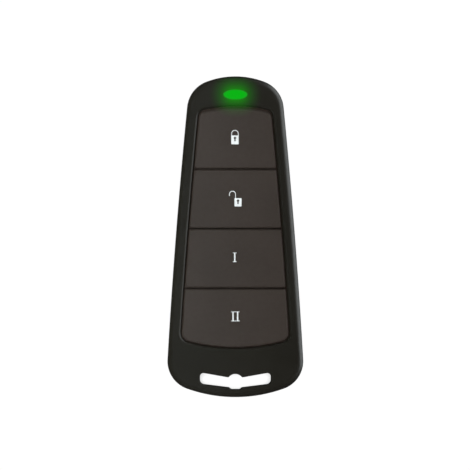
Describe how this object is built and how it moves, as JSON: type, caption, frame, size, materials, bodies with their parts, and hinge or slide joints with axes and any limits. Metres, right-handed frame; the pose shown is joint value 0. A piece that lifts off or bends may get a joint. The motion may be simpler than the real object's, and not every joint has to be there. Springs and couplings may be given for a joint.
{
  "type": "rf remote key fob",
  "caption": "Tapered hand-held radio key fob with stacked push keys, a lamp window at its domed end and a key-ring slot at its foot.",
  "frame": {"origin": "middle of the fob's footprint on its back face, at the lowest point", "axes": "+Z out of the key face, +Y towards the lamp end, +X to the right when the keys face the viewer"},
  "size_m": [0.033, 0.078, 0.0116],
  "materials": {
    "case_plastic": "fine satin black, moulded",
    "key_plastic": "matt warm dark grey",
    "legend_white": "flush white",
    "lamp_lens": "lit green light pipe",
    "board": "green solder mask",
    "led": "clear moulded chip",
    "copper": "etched copper",
    "chip": "black moulding compound",
    "crystal_can": "pressed can",
    "chip_part": "ceramic",
    "cell_steel": "nickel plated",
    "contact_metal": "nickel plated strip",
    "screw_steel": "dark zinc",
    "switch_plastic": "black nylon",
    "switch_steel": "tinned plate",
    "plunger_plastic": "natural nylon",
    "dome_steel": "spring steel"
  },
  "bodies": {
    "case": {"front_case": "case_plastic", "back_case": "case_plastic", "lamp_window": "lamp_lens", "circuit_board": "board", "status_led": "led", "loop_antenna": "copper", "controller_chip": "chip", "radio_chip": "chip", "crystal": "crystal_can", "chip_parts": "chip_part", "coin_cell": "cell_steel", "battery_clip": "contact_metal", "negative_contact": "contact_metal", "case_screws": "screw_steel", "lock_switch": "switch_plastic", "lock_switch_cover": "switch_steel", "lock_dome": "dome_steel", "unlock_switch": "switch_plastic", "unlock_switch_cover": "switch_steel", "unlock_dome": "dome_steel", "one_switch": "switch_plastic", "one_switch_cover": "switch_steel", "one_dome": "dome_steel", "two_switch": "switch_plastic", "two_switch_cover": "switch_steel", "two_dome": "dome_steel"},
    "lock_key": {"lock_key": "key_plastic", "lock_legend": "legend_white", "lock_plunger": "plunger_plastic"},
    "unlock_key": {"unlock_key": "key_plastic", "unlock_legend": "legend_white", "unlock_plunger": "plunger_plastic"},
    "key_one": {"key_one": "key_plastic", "numeral_one": "legend_white", "one_plunger": "plunger_plastic"},
    "key_two": {"key_two": "key_plastic", "numeral_two": "legend_white", "two_plunger": "plunger_plastic"}
  },
  "joints": [
    {"name": "lock_key_press", "type": "slide", "parent": "case", "child": "lock_key", "axis": [0, 0, -1], "range_m": [0, 0.0003], "stiffness_N_per_m": 800, "deforming": ["lock_dome"]},
    {"name": "unlock_key_press", "type": "slide", "parent": "case", "child": "unlock_key", "axis": [0, 0, -1], "range_m": [0, 0.0003], "stiffness_N_per_m": 800, "deforming": ["unlock_dome"]},
    {"name": "key_one_press", "type": "slide", "parent": "case", "child": "key_one", "axis": [0, 0, -1], "range_m": [0, 0.0003], "stiffness_N_per_m": 800, "deforming": ["one_dome"]},
    {"name": "key_two_press", "type": "slide", "parent": "case", "child": "key_two", "axis": [0, 0, -1], "range_m": [0, 0.0003], "stiffness_N_per_m": 800, "deforming": ["two_dome"]}
  ]
}
